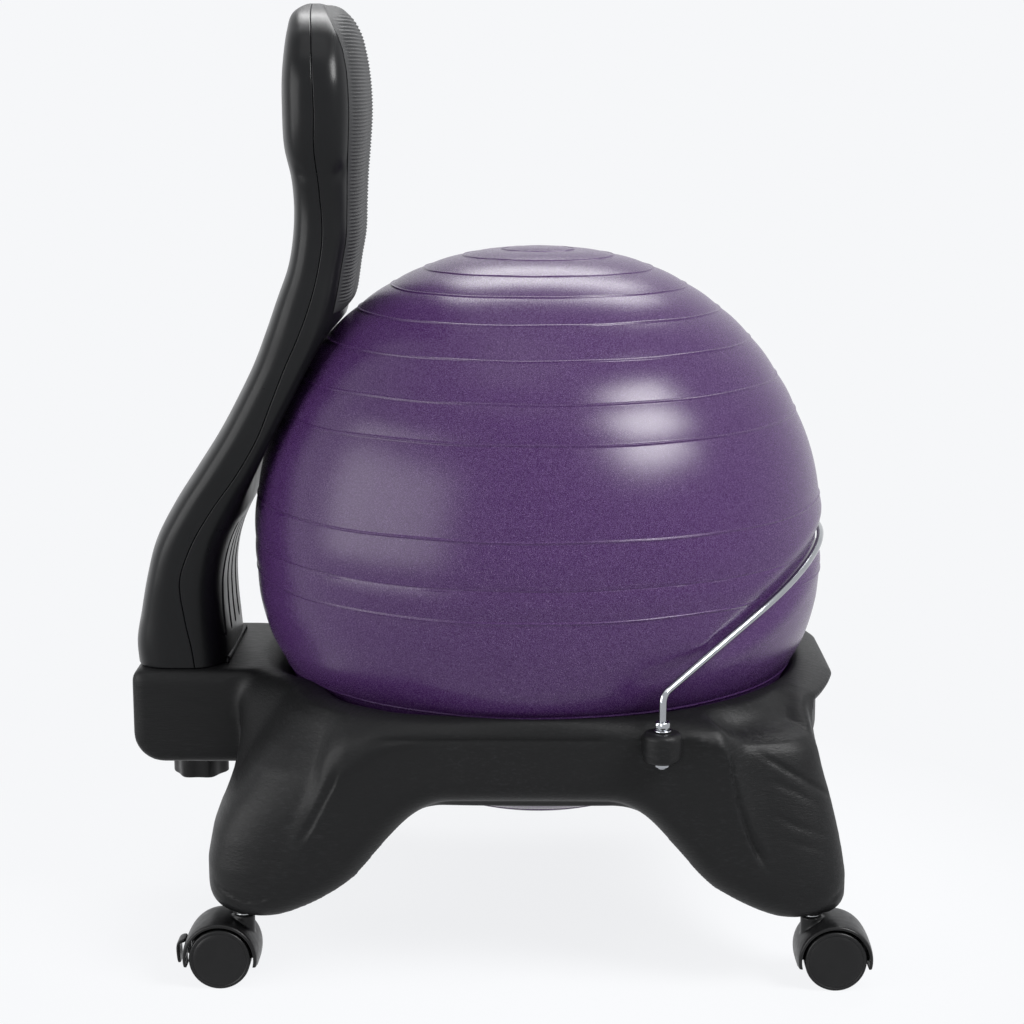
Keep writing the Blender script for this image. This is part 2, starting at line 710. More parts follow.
# Plain finishes: colour, roughness, metal and specular level; the noise between two colours; the noise
# between two roughnesses, where there is one; and bumps. A noise is its scale, detail and roughness, and a
# bump is a noise with a strength and a distance.
FINISHES = {
    "backrest_black": (
        (0.005, 0.0052, 0.0056), 0.36, 0, 0.16,
        (14, 3, 0.5), (0.0035, 0.0037, 0.0041), (0.006, 0.0062, 0.0068),
        (60, 4, 0.6), (0.27, 0.34), ((1600, 2, 0.5, 0.07, 0.0002), (35, 2, 0.5, 0.05, 0.001))),
    "panel_black": (
        (0.045, 0.046, 0.048), 0.62, 0, 0.4, (40, 3, 0.5), (0.012, 0.0123, 0.0131), (0.019, 0.0195, 0.0206),
        None, None, ((1800, 3, 0.6, 0.2, 0.0003),)),
    "caster_black": (
        (0.005, 0.005, 0.0052), 0.33, 0, 0.19,
        (60, 3, 0.5), (0.0045, 0.0045, 0.0048), (0.0075, 0.0075, 0.0078),
        (180, 4, 0.6), (0.28, 0.4), ((2200, 2, 0.5, 0.06, 0.00015),)),
    "bright_chrome": (
        (0.34, 0.35, 0.37), 0.12, 1, 0.5, (70, 3, 0.5), (0.3, 0.31, 0.33), (0.4, 0.41, 0.43),
        (400, 4, 0.7), (0.08, 0.2), ((900, 3, 0.6, 0.04, 0.0002),)),
    "plated_steel": (
        (0.5, 0.51, 0.52), 0.3, 1, 0.5, (200, 4, 0.6), (0.42, 0.43, 0.44), (0.56, 0.57, 0.58),
        (500, 4, 0.7), (0.24, 0.42), ()),
    "insert_brass": (
        (0.5, 0.36, 0.16), 0.32, 1, 0.5, (150, 4, 0.6), (0.42, 0.3, 0.13), (0.56, 0.42, 0.2), None, None, ()),
    "plug_white": (
        (0.72, 0.72, 0.7), 0.45, 0, 0.5, (80, 3, 0.5), (0.66, 0.66, 0.63), (0.77, 0.77, 0.75),
        None, None, ((1500, 2, 0.5, 0.05, 0.0002),)),
}


def plain_finish(name):
    color, roughness, metal, specular, grain, dark, light, rough_grain, rough_range, bumps = FINISHES[name]
    shader = Shader(name, color, roughness, metal, specular)
    shader.color(shader.mixed(shader.noise(*grain), dark, light))
    if rough_grain:
        shader.roughness(shader.ranged(shader.noise(*rough_grain), *NOISE_RANGE, *rough_range))
    for *bump_grain, strength, distance in bumps:
        shader.add_bump(shader.noise(*bump_grain), strength, distance)
    return shader.material


# How far the base's streaks are drawn out: round the ball's axis, and along each axis
STREAK_TURN = (0.4, 0.4, 0.4)
STREAK_STRETCH = (0.35, 0.35, 5)
# The ranges of a noise in which the base's patches and streaks, and the ball's grain and flakes, come up
PATCH_RANGE = (0.42, 0.62)
STREAK_RANGE = (0.52, 0.72)
GRAIN_RANGE = (0.42, 0.66)
FLAKE_RANGE = (0.58, 0.74)
FLAKE_MOST = 0.5
BASE_BLACK, BASE_STREAK = (0.005, 0.0051, 0.0054), (0.011, 0.0112, 0.0119)
BALL_DEEP, BALL_BROAD = (0.016, 0.0024, 0.031), (0.024, 0.0045, 0.043)
BALL_GRAIN, BALL_FLAKE = (0.042, 0.014, 0.071), (0.34, 0.25, 0.42)


def moulded_black():
    """The base: satin black with fine streaks, outward on top and level on the upright sides."""
    shader = Shader("moulded_black", (0.006, 0.006, 0.0065), 0.42, specular=0.15)
    place = shader.vector("SUBTRACT", shader.place, (AXIS_X, 0, 0))
    outward = shader.vector("NORMALIZE", shader.vector("MULTIPLY", place, (1, 1, 0)))
    stretched = shader.vector("ADD", shader.vector("MULTIPLY", outward, STREAK_TURN),
                              shader.vector("MULTIPLY", place, STREAK_STRETCH))
    streaks = shader.noise(110, 4, 0.62, stretched)
    fine = shader.noise(320, 3, 0.6, stretched)
    patches = shader.ranged(shader.noise(9, 3, 0.55), *PATCH_RANGE, 0, 1)
    streaked = shader.maths("MULTIPLY", shader.ranged(streaks, *STREAK_RANGE, 0, 1), patches)
    shader.color(shader.mixed(streaked, BASE_BLACK, BASE_STREAK))
    shader.roughness(shader.ranged(fine, *NOISE_RANGE, 0.38, 0.5))
    shader.add_bump(streaks, 0.4, 0.0008)
    shader.add_bump(fine, 0.3, 0.0005)
    shader.add_bump(shader.noise(1400, 2, 0.5), 0.1, 0.0002)
    return shader.material


def pearl_vinyl():
    """The ball: purple vinyl with a fine grain and light flakes."""
    shader = Shader("pearl_vinyl", (0.05, 0.012, 0.1), 0.4, specular=0.26)
    grain = shader.noise(1500, 2, 0.6)
    flake = shader.noise(2600, 1, 0.5)
    deep = shader.mixed(shader.noise(6, 2, 0.5), BALL_DEEP, BALL_BROAD)
    light = shader.mixed(shader.ranged(grain, *GRAIN_RANGE, 0, 1), deep, BALL_GRAIN)
    shader.color(shader.mixed(shader.ranged(flake, *FLAKE_RANGE, 0, FLAKE_MOST), light, BALL_FLAKE))
    shader.roughness(shader.ranged(grain, *NOISE_RANGE, 0.19, 0.32))
    shader.add_bump(grain, 0.17, 0.0004)
    shader.add_bump(flake, 0.12, 0.0002)
    return shader.material


MATERIALS = {"moulded_black": moulded_black(), "pearl_vinyl": pearl_vinyl()}
MATERIALS.update((name, plain_finish(name)) for name in FINISHES)


def finish_with(obj, material, body="chair", replaces=()):
    """Gives a piece its material, body and slot, and names the CAD nodes that it stands for."""
    obj.data.materials.clear()
    obj.data.materials.append(MATERIALS[material])
    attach(obj, body)
    if replaces:
        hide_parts(*replaces)


# Bar

def bar_path():
    """The bar's centreline from its right end over the ball's front to its left end."""
    tilt = math.radians(BAR_TILT)
    hug = BALL_RADIUS + BAR_RADIUS - BAR_DENT
    forward = Vector((math.cos(tilt), 0, math.sin(tilt)))
    normal = Vector((-math.sin(tilt), 0, math.cos(tilt)))
    down = Vector((0, 0, -1))
    foot_top = Vector((BAR_FOOT_X, BAR_FOOT_Y, BAR_FOOT_TOP))
    ball_centre = Vector((0, 0, BALL_Z))
    depth = (foot_top - ball_centre).dot(normal)
    centre = ball_centre + normal * depth
    arc_radius = math.sqrt(hug * hug - depth * depth)
    along = (foot_top - centre).dot(forward)
    tangent = math.atan2(BAR_FOOT_Y, along) - math.acos(arc_radius / math.hypot(along, BAR_FOOT_Y))
    half = []
    for i in range(BAR_ARC_STEPS + 1):
        angle = tangent * i / BAR_ARC_STEPS
        point = centre + forward * (arc_radius * math.cos(angle))
        point.y = arc_radius * math.sin(angle)
        half.append(point)
    start = half[-1]
    direction = (foot_top - start).normalized()
    setback = BAR_BEND_RADIUS * math.tan(direction.angle(down) / 2)
    bend_start = foot_top - direction * setback
    bend_end = foot_top + down * setback
    half += [start.lerp(bend_start, i / BAR_STEPS) for i in range(1, BAR_STEPS)]
    for i in range(BAR_STEPS + 1):
        t = i / BAR_STEPS
        half.append(bend_start.lerp(foot_top, t).lerp(foot_top.lerp(bend_end, t), t))
    drop = bend_end.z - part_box("retaining_bar")[0].z
    half += [bend_end + down * drop * share for share in (0.33, 0.66, 0.97, 1.0)]
    mirrored = [Vector((p.x, -p.y, p.z)) for p in reversed(half[1:])]
    shift = Vector((AXIS_X, 0, 0))
    return [p + shift for p in mirrored + half]


def swept(name, path, radius, sides=20):
    """A round rod along a path, with slightly drawn-in ends."""
    turns = [2 * math.pi * j / sides for j in range(sides)]
    rings = []
    side = Vector((1, 0, 0))
    last = len(path) - 1
    for i, point in enumerate(path):
        tangent = (path[min(i + 1, last)] - path[max(i - 1, 0)]).normalized()
        side = (side - tangent * side.dot(tangent)).normalized()
        up = tangent.cross(side)
        here = radius * (BAR_END_TAPER if i in (0, last) else 1)
        rings.append([point + (side * math.cos(turn) + up * math.sin(turn)) * here for turn in turns])
    return lofted(name, rings, caps=True)


BAR_POINTS = bar_path()


def hex_nut(name, across, low, high, at, bore, dome=0.0):
    """A chamfered hexagon nut about Z with a bore, or a dome over its lower end.

    The numbers in it are shares of its width, of its chamfer and of its bore.
    """
    flat = across / 2
    corner = flat / math.cos(math.pi / 6)
    chamfer = across * 0.07
    base = across * 0.42
    segments = 72
    rings = []
    for i in range(segments):
        angle = 2 * math.pi * i / segments
        turn = (angle + math.pi / 6) % (math.pi / 3) - math.pi / 6
        reach = flat / math.cos(turn)
        rim = min(reach, flat * 1.005)
        fall = chamfer * (reach - rim) / (corner - flat) * 0.9
        profile = [(rim * 0.96, low), (rim, low + chamfer * 0.15), (reach, low + fall + chamfer * 0.3),
                   (reach, high - fall - chamfer * 0.3), (rim, high - chamfer * 0.15), (rim * 0.96, high),
                   (bore * 1.12, high), (bore, high - chamfer * 0.6)]
        if dome:
            arc = [(base * math.cos(a), low - dome * math.sin(a)) for a in np.linspace(math.pi / 2, 0, 7)]
            profile = arc + profile
        else:
            profile = [(bore, low + chamfer * 0.6), (bore * 1.12, low)] + profile
            profile.append(profile[0])
        rings.append([(at[0] + r * math.cos(angle), at[1] + r * math.sin(angle), h) for r, h in profile])
    obj = lofted(name, rings, wrap_rows=True, wrap_columns=False)
    merge_close(obj)
    recalculate(obj)
    return obj


def washer(name, inner, outer, low, high, at):
    edge = (high - low) * 0.25
    profile = [(inner, low + edge), (inner, high - edge), (inner + edge, high), (outer - edge, high),
               (outer, high - edge), (outer, low + edge), (outer - edge, low), (inner + edge, low),
               (inner, low + edge)]
    return turned(name, profile, at=(*at, 0))


def make_bar():
    finish_with(swept("bar_rod", BAR_POINTS, BAR_RADIUS), "bright_chrome", replaces=["retaining_bar"])
    for side, sign in (("left", 1), ("right", -1)):
        at = (AXIS_X + BAR_FOOT_X, sign * BAR_FOOT_Y)
        low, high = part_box(f"bar_{side}_washer")
        ring = washer(f"bar_{side}_washer_ring", BAR_RADIUS * 1.1, (high.x - low.x) / 2, low.z, high.z, at)
        finish_with(ring, "bright_chrome", replaces=[f"bar_{side}_washer"])
        for kind, piece, dome in (("nut", "hex_nut", 0), ("cap_nut", "domed_nut", CAP_DOME)):
            low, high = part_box(f"bar_{side}_{kind}")
            nut = hex_nut(f"bar_{side}_{piece}", high.x - low.x, low.z + dome, high.z, at, BAR_RADIUS, dome)
            finish_with(nut, "bright_chrome", replaces=[f"bar_{side}_{kind}"])


# Ball

def ring_latitudes():
    """The raised rings' latitudes, and the mould seam's among them."""
    high = [math.atan2(height, radius) for height, radius in BALL_RINGS]
    return sorted([-angle for angle in high] + high + [math.asin(h / BALL_RADIUS) for h in BALL_MIDDLE_RINGS])


def ball_latitudes(rings):
    """Latitudes closer together over each raised ring."""
    places = list(np.linspace(-math.pi / 2, math.pi / 2, BALL_ROWS))
    step = BALL_RIDGE_STEP * BALL_RIDGE_WIDTH / BALL_RADIUS
    for ring in rings:
        places = [p for p in places if abs(p - ring) > BALL_RIDGE_ROWS * step]
        places += [ring + k * step for k in range(-BALL_RIDGE_ROWS, BALL_RIDGE_ROWS + 1)]
    return np.array(sorted(places))


def make_ball():
    rings = ring_latitudes()
    latitudes = ball_latitudes(rings)
    turns = np.linspace(0, 2 * math.pi, BALL_COLUMNS, endpoint=False)
    lat, lon = np.meshgrid(latitudes, turns, indexing="ij")
    radius = BALL_RADIUS + table_at(BALL_SWELL, np.degrees(lat))
    edges = np.array([-math.pi / 2] + rings + [math.pi / 2])
    band = np.clip(np.searchsorted(edges, lat) - 1, 0, len(edges) - 2)
    share = (lat - edges[band]) / (edges[band + 1] - edges[band])
    radius += BALL_BAND_SWELL * (4 * share * (1 - share) - 1)
    seam = math.asin(BALL_MIDDLE_RINGS[1] / BALL_RADIUS)
    for number, ring in enumerate(rings):
        waver = sum(depth * np.sin(waves * lon + k * number)
                    for k, (waves, depth) in enumerate(BALL_WAVERS, 1))
        off = (lat - ring) * BALL_RADIUS + waver
        if ring == seam:
            often, seldom = (np.sin(waves * lon + phase) for waves, phase in BALL_NICK_WAVES)
            nick = np.clip(often * seldom - BALL_NICK_LEVEL, 0, 1)
            radius += BALL_SEAM_NICK * nick * np.exp(-(off / BALL_SEAM_WIDTH) ** 2)
            radius -= BALL_SEAM_DEPTH * np.exp(-((off - BALL_SEAM_OFFSET) / BALL_SEAM_WIDTH) ** 2)
        else:
            radius += BALL_RIDGE_HEIGHT * np.exp(-(off / BALL_RIDGE_WIDTH) ** 2)
    level = radius * np.cos(lat)
    points = np.stack([level * np.cos(lon), level * np.sin(lon), radius * np.sin(lat)], axis=-1)
    points = press_bar(points.reshape(-1, 3) + np.array([AXIS_X, 0, BALL_Z]))
    skin = lofted("ball_skin", points.reshape(len(latitudes), BALL_COLUMNS, 3))
    merge_close(skin, 1e-5)
    recalculate(skin)
    finish_with(skin, "pearl_vinyl", replaces=["ball_shell"])


def fold_line(high, low, sign):
    """Places on the ball from a fold's upper end to its lower one."""
    line = []
    for step in range(FOLD_STEPS + 1):
        x, z = (high[k] + (low[k] - high[k]) * step / FOLD_STEPS for k in (0, 1))
        rest = max(BALL_RADIUS ** 2 - x ** 2 - (z - BALL_Z) ** 2, 0)
        line.append(Vector((AXIS_X + x, sign * math.sqrt(rest), z)))
    return line


def press_bar(points):
    """The bar's groove in the ball, and the soft folds beside it."""
    centre = np.array([AXIS_X, 0, BALL_Z])
    near = points[:, 0] > AXIS_X
    moved = points[near]
    distance, nearest = path_distance(moved, BAR_POINTS[::2])
    outward = moved - centre
    reach = np.linalg.norm(outward, axis=1)
    outward /= reach[:, None]
    bar_reach = np.linalg.norm(nearest - centre, axis=1)
    press = np.clip(reach - (bar_reach - BAR_RADIUS - GROOVE_GAP), 0, GROOVE_MOST)
    lateral = np.sqrt(np.clip(distance ** 2 - (reach - bar_reach) ** 2, 0, None))
    dent = press * np.exp(-(np.clip(lateral - GROOVE_FLAT, 0, 1) / GROOVE_SLOPE) ** 2)
    bulge = BULGE_HEIGHT * np.exp(-((lateral - BULGE_OFFSET) / BULGE_WIDTH) ** 2)
    bulge *= np.clip(press / BULGE_FULL_PRESS, 0, 1)
    moved = moved - outward * (dent - bulge)[:, None]
    for high, low, depth, width in BALL_FOLDS:
        for sign in (1, -1):
            line = fold_line(high, low, sign)
            away, _ = path_distance(moved, line)
            fade = np.clip(end_distance(moved, line) / FOLD_FADE, 0, 1)
            moved = moved - outward * (depth * np.exp(-(away / width) ** 2) * fade)[:, None]
    points = points.copy()
    points[near] = moved
    return points


# Base body

CORNER_SHARE = LEG_CORNER_REACH / math.hypot(BASE_HALF_LENGTH, BASE_HALF_WIDTH)
BASE_SQUARENESS = math.log(0.5) / math.log(CORNER_SHARE)


def plan_shares(angle, radius):
    """A place's shares of the base's half length and half width."""
    x = np.abs(radius * np.cos(angle) + LEG_SETBACK) / BASE_HALF_LENGTH
    y = np.abs(radius * np.sin(angle)) / BASE_HALF_WIDTH
    return x, y


def wall_reach(angle):
    """How far the base's outline with its four corners reaches at an angle, found by halving."""
    low, high = np.full(angle.shape, HOLE_RADIUS), np.full(angle.shape, 2 * LEG_CORNER_REACH)
    for _ in range(40):
        middle = (low + high) / 2
        x, y = plan_shares(angle, middle)
        inside = x ** BASE_SQUARENESS + y ** BASE_SQUARENESS < 1
        low, high = np.where(inside, middle, low), np.where(inside, high, middle)
    return low


def arch_share(place):
    """How open an arch is at a place along a side, evened out over its neighbourhood."""
    offsets = np.linspace(-ARCH_EVENING, ARCH_EVENING, 5)
    return sum(table_at(ARCH_SHARES, np.abs(place + offset)) for offset in offsets) / len(offsets)


def underside(angle, radius, reach):
    x, y = plan_shares(angle, radius)
    open_share = np.maximum(arch_share(x), arch_share(y))
    inward = (reach - radius) / (reach - HOLE_RADIUS)
    arch = ARCH_HEIGHT + (HOLE_UNDERSIDE - ARCH_HEIGHT) * inward
    return LEG_UNDERSIDE + (arch - LEG_UNDERSIDE) * open_share


def base_rings():
    """Sections of the base at angles round the ball's axis, each one once round from the hole's edge."""
    angle = 2 * math.pi * (np.arange(BASE_RAYS) + 0.5) / BASE_RAYS
    reach = wall_reach(angle)
    x, y = plan_shares(angle, reach)
    side = np.minimum(x, y) / np.maximum(x, y)
    ahead = smoothstep((np.cos(angle) + TABLE_BLEND) / (2 * TABLE_BLEND))
    across = smoothstep((y - x + TABLE_BLEND) / (2 * TABLE_BLEND))

    def front_or_rear(rear_table, front_table, place):
        return blended(table_at(rear_table, place), table_at(front_table, place), ahead)

    on_side = front_or_rear(REAR_LEGWARD, FRONT_LEGWARD, side)
    on_end = front_or_rear(REAR_END_LEGWARD, FRONT_END_LEGWARD, side)
    legward = blended(on_end, on_side, across)
    off_axis = np.degrees(np.arctan2(np.abs(np.sin(angle)), np.abs(np.cos(angle))))
    edge = np.minimum(reach, front_or_rear(REAR_EDGE, FRONT_EDGE, off_axis))
    foot = edge + (reach - edge) * legward
    bottom = underside(angle, foot, reach)
    dish = BALL_RADIUS + DISH_GAP
    crest_low = RIM_HEIGHT - DISH_CREST_DROP
    crest_start = math.sqrt(dish ** 2 - (BALL_Z - crest_low) ** 2)
    narrow, wide = DISH_CREST_RADII
    room = smoothstep((reach - CREST_ROOM_START) / CREST_ROOM_SPAN) * (1 - CREST_FRONT_CUT * ahead)
    crest = narrow + (wide - narrow) * room
    sections = []

    def on_dish(radius):
        return BALL_Z - math.sqrt(dish ** 2 - radius ** 2)

    def add(radius, height):
        sections.append((np.broadcast_to(radius, angle.shape), np.broadcast_to(height, angle.shape)))

    # The dish from the hole to its rounded crest
    add(HOLE_RADIUS, min(HOLE_UNDERSIDE, on_dish(HOLE_RADIUS) - HOLE_RIM))
    for radius in HOLE_RADIUS + (crest_start - HOLE_RADIUS) * np.linspace(0, 1, 14):
        add(radius, on_dish(radius))
    for share in np.linspace(0.08, 1, 9):
        rise = DISH_CREST_DROP * math.sin(share * math.pi / 2)
        add(crest_start + (crest - crest_start) * share, crest_low + rise)
    # The legs' shoulders, and the rolled edge along the sides and ends
    end_front = (1 - across) * ahead
    tuck = (SIDE_WALL_INSET + (FRONT_WALL_INSET - SIDE_WALL_INSET) * end_front) * (1 - legward)
    roll_drop = SIDE_ROLL_DROP + (FRONT_ROLL_DROP - SIDE_ROLL_DROP) * end_front
    for share in np.linspace(0.03, 1, 34):
        leg_fall = front_or_rear(REAR_LEG_FALL, FRONT_LEG_FALL, share)
        turn = share * math.pi / 2
        outward = ROLL_EVEN_REACH * share + (1 - ROLL_EVEN_REACH) * math.sin(turn)
        fallen = ROLL_EVEN_FALL * share + (1 - ROLL_EVEN_FALL) * (1 - math.cos(turn))
        side_radius, side_fall = crest + (edge - crest) * outward, roll_drop * fallen
        leg_radius = crest + (reach - crest) * share
        add(side_radius + (leg_radius - side_radius) * legward,
            RIM_HEIGHT - side_fall - (leg_fall - side_fall) * legward)
    # The wall down to its rounded lower edge, and the underside back to the hole
    leg_drop = front_or_rear(REAR_LEG_FALL, FRONT_LEG_FALL, 1)
    wall_top = RIM_HEIGHT - roll_drop - (leg_drop - roll_drop) * legward
    tuck_height = SIDE_TUCK_HEIGHT + (FRONT_TUCK_HEIGHT - SIDE_TUCK_HEIGHT) * end_front
    wall_foot = wall_top - np.minimum(tuck_height, (wall_top - bottom) * TUCK_MOST_SHARE)
    bottom_round = np.minimum(LEG_BOTTOM_ROUND, (wall_foot - bottom) * ROUND_MOST_SHARE)
    for share in (0.35, 0.7, 1):
        add(foot - tuck * smoothstep(share), wall_top + (wall_foot - wall_top) * share)
    straight = wall_foot - bottom - bottom_round
    for share in (0.25, 0.5, 0.75, 1):
        add(foot - tuck, wall_foot - straight * share)
    for turn in np.linspace(0.16, 1, 6) * (math.pi / 2):
        add(foot - tuck - bottom_round * (1 - math.cos(turn)), bottom + bottom_round * (1 - math.sin(turn)))
    start = foot - tuck - bottom_round
    for share in np.linspace(0.06, 0.94, 16):
        radius = start + (HOLE_RADIUS - start) * share
        add(radius, underside(angle, radius, reach))
    radii, heights = (np.array([section[k] for section in sections]).T for k in (0, 1))
    turn = angle[:, None]
    x, y = radii * np.cos(turn), radii * np.sin(turn)
    lean = np.where(x > 0, table_at(FRONT_LEAN, heights), table_at(REAR_LEAN, heights))
    x = x - np.sign(x) * lean * legward[:, None] * smoothstep((np.abs(x) - LEAN_START) / LEAN_SPAN)
    return np.stack([AXIS_X + x, y, heights], axis=-1)


def rounded_box(name, low, high, edge, heel):
    """A box with rounded edges, and a wider rounding along its lower rear edge."""
    def round_off(mesh):
        heel_edges = [e for e in mesh.edges
                      if all(v.co.x < low[0] + 1e-5 and v.co.z < low[2] + 1e-5 for v in e.verts)]
        bmesh.ops.bevel(mesh, geom=heel_edges, offset=heel, segments=10, profile=0.5, affect="EDGES")
        sharp = [e for e in mesh.edges if e.is_manifold and e.calc_face_angle() > math.radians(40)]
        bmesh.ops.bevel(mesh, geom=sharp, offset=edge, segments=5, profile=0.5, affect="EDGES")

    obj = box_object(name, low, high)
    reworked(obj, round_off)
    recalculate(obj)
    return obj


def pushed_in(points, line, depth, width, toward=(AXIS_X, 0)):
    """The points with a crease pressed in along a line, toward an upright line at a place."""
    low, high = np.min(line, axis=0) - CREASE_REACH, np.max(line, axis=0) + CREASE_REACH
    near = np.all((points > low) & (points < high), axis=1)
    moved = points[near]
    distance, _ = path_distance(moved, line)
    inward = np.array([*toward, 0]) - moved
    inward[:, 2] = -CREASE_DIP
    inward /= np.linalg.norm(inward, axis=1)[:, None]
    fade = np.clip(end_distance(moved, line) / CREASE_FADE, CREASE_END_SHARE, 1)
    points[near] = moved + inward * (depth * np.exp(-(distance / width) ** 2) * fade)[:, None]
    return points


def softened(body):
    """The base's points, smoothed where the block runs into the rear legs."""
    points = vertices_of(body)
    edges = np.empty(len(body.data.edges) * 2, dtype=np.int64)
    body.data.edges.foreach_get("vertices", edges)
    a, b = edges[0::2], edges[1::2]
    ends, others = np.concatenate([a, b]), np.concatenate([b, a])
    place = np.stack([points[:, 0] - AXIS_X, np.abs(points[:, 1]), points[:, 2]], axis=-1)
    away = np.linalg.norm((place - np.array(BLOCK_FLOW_CENTRE)) / np.array(BLOCK_FLOW_REACH), axis=1)
    weight = BLOCK_FLOW_SHARE * smoothstep(BLOCK_FLOW_RISE * (1 - away))[:, None]
    count = np.bincount(ends, minlength=len(points))[:, None]
    for _ in range(BLOCK_FLOW_ROUNDS):
        total = np.stack([np.bincount(ends, points[others, axis], len(points)) for axis in range(3)], axis=-1)
        points = points + (total / count - points) * weight
    return points


def on_skin(points, line):
    """A crease's places, each moved sideways onto the nearest point of the skin."""
    found = []
    for place in line:
        target = np.array(place)
        gap = np.linalg.norm((points - target) * np.array([1, 0.25, 1]), axis=1)
        gap[points[:, 1] * target[1] < 0] = 1
        found.append(Vector(points[int(np.argmin(gap))]))
    return found


def quarter(radius, height, edge, first):
    """Points of a quarter circle about (radius, height), from straight down or from straight out."""
    turns = np.linspace(first, first + math.pi / 2, 9)
    return [(radius + edge * math.sin(turn), height - edge * math.cos(turn)) for turn in turns]


def make_base():
    block = rounded_box("block", (AXIS_X - BLOCK_REACH, -BLOCK_HALF_WIDTH, BLOCK_UNDERSIDE),
                        (AXIS_X - BLOCK_INNER_REACH, BLOCK_HALF_WIDTH, RIM_HEIGHT),
                        BLOCK_EDGE_ROUND, BLOCK_HEEL_ROUND)
    body = joined("base_body", [lofted("base_loft", base_rings(), wrap_rows=True), block])
    melted(body, BASE_VOXEL, BASE_SMOOTHING)
    points = softened(body)
    for sign in (1, -1):
        for crease, depth, width in SIDE_CREASES:
            line = on_skin(points, [(AXIS_X + x, sign * BASE_HALF_WIDTH, z) for x, z in crease])
            points = pushed_in(points, line, depth, width)
        line = [Vector((AXIS_X + x, sign * BLOCK_HALF_WIDTH, z)) for x, z in BLOCK_CREASE]
        points = pushed_in(points, line, BLOCK_CREASE_DEPTH, BLOCK_CREASE_WIDTH)
    set_vertices(body, points)
    finish_with(body, "moulded_black", replaces=["base_shell"])
    # The lip across the deck's rear, low at its two ends
    shares = [LIP_END_SHARE] + [1] * (LIP_STEPS - 2) + [LIP_END_SHARE]
    lip = [Vector((AXIS_X - LIP_REACH, y, RIM_HEIGHT + LIP_HEIGHT * share - LIP_THICKNESS / 2))
           for y, share in zip(np.linspace(-LIP_HALF_WIDTH, LIP_HALF_WIDTH, LIP_STEPS), shares)]
    finish_with(swept("base_lip", lip, LIP_THICKNESS / 2, 16), "moulded_black")
    edge = BOSS_EDGE_ROUND
    profile = [(0, BOSS_UNDERSIDE), *quarter(BOSS_RADIUS - edge, BOSS_UNDERSIDE + edge, edge, 0),
               *quarter(BOSS_RADIUS - edge, BOSS_TOP - edge, edge, math.pi / 2), (0, BOSS_TOP)]
    for side, sign in (("left", 1), ("right", -1)):
        boss = turned(f"base_boss_{side}", profile, 72, at=(AXIS_X + BAR_FOOT_X, sign * BAR_FOOT_Y, 0))
        finish_with(boss, "moulded_black")


# Backrest

def back_row(share):
    """A level section's height, rear and front faces, half width and seam, at a share of the height."""
    rear, front, half, seam = (curve_through(BACK_PROFILE_SHARES, share, column) for column in (1, 2, 3, 4))
    return {"height": BACK_FOOT + BACK_HEIGHT * share, "rear": -BACK_REAR + BACK_SWEEP * rear,
            "front": -BACK_REAR + BACK_SWEEP * front, "half": BACK_HALF_WIDTH * half, "seam": seam}


def hollow_at(row):
    """How far the front face is hollowed at its middle to clear the ball."""
    above = row["height"] - BALL_Z
    ball_here = math.sqrt(max(BALL_RADIUS ** 2 - above ** 2, 0))
    return max(0.0, ball_here + BACK_BALL_GAP + row["front"])


def back_outline(row, angles):
    """Points of a level section, as x from the ball's axis and y, at angles off the front."""
    power = 2 / BACK_SQUARENESS
    c, s = np.cos(angles), np.sin(angles)
    middle = (row["rear"] + row["front"]) / 2
    depth = (row["front"] - row["rear"]) / 2
    frontward = np.sign(c) * np.abs(c) ** power
    y = row["half"] * np.sign(s) * np.abs(s) ** power
    hollow = hollow_at(row) * (1 - (y / row["half"]) ** 2)
    return np.stack([middle + depth * frontward - hollow * np.clip(frontward, 0, 1), y], axis=-1)


def front_face(y, height):
    """How far forward the front shell's face stands at a place across the chair."""
    row = back_row((height - BACK_FOOT) / BACK_HEIGHT)
    middle, depth = (row["rear"] + row["front"]) / 2, (row["front"] - row["rear"]) / 2
    sideways = min(abs(y) / row["half"], 1)
    frontward = (1 - sideways ** BACK_SQUARENESS) ** (1 / BACK_SQUARENESS)
    return AXIS_X + middle + (depth - hollow_at(row) * (1 - sideways ** 2)) * frontward


def seam_angle(row):
    """The angle, off the front, at which the section crosses its parting seam."""
    frontward = 2 * row["seam"] - 1
    return math.acos(math.copysign(abs(frontward) ** (BACK_SQUARENESS / 2), frontward))


def back_shares():
    """Rows closer together over the rounded foot and top."""
    foot = [BACK_FOOT_ROUND / BACK_HEIGHT * t for t in FOOT_ROWS]
    left = (1 - EVEN_ROWS[1]) * np.linspace(1, 0, TOP_ROWS + 1)[1:] ** TOP_CROWDING
    return foot + list(np.linspace(*EVEN_ROWS)) + list(1 - left)


def rounding(distance, radius):
    """How far a rounded edge has drawn in at a distance from its end."""
    t = np.clip(1 - np.asarray(distance) / radius, 0, 1)
    return radius * (1 - np.sqrt(1 - t * t))


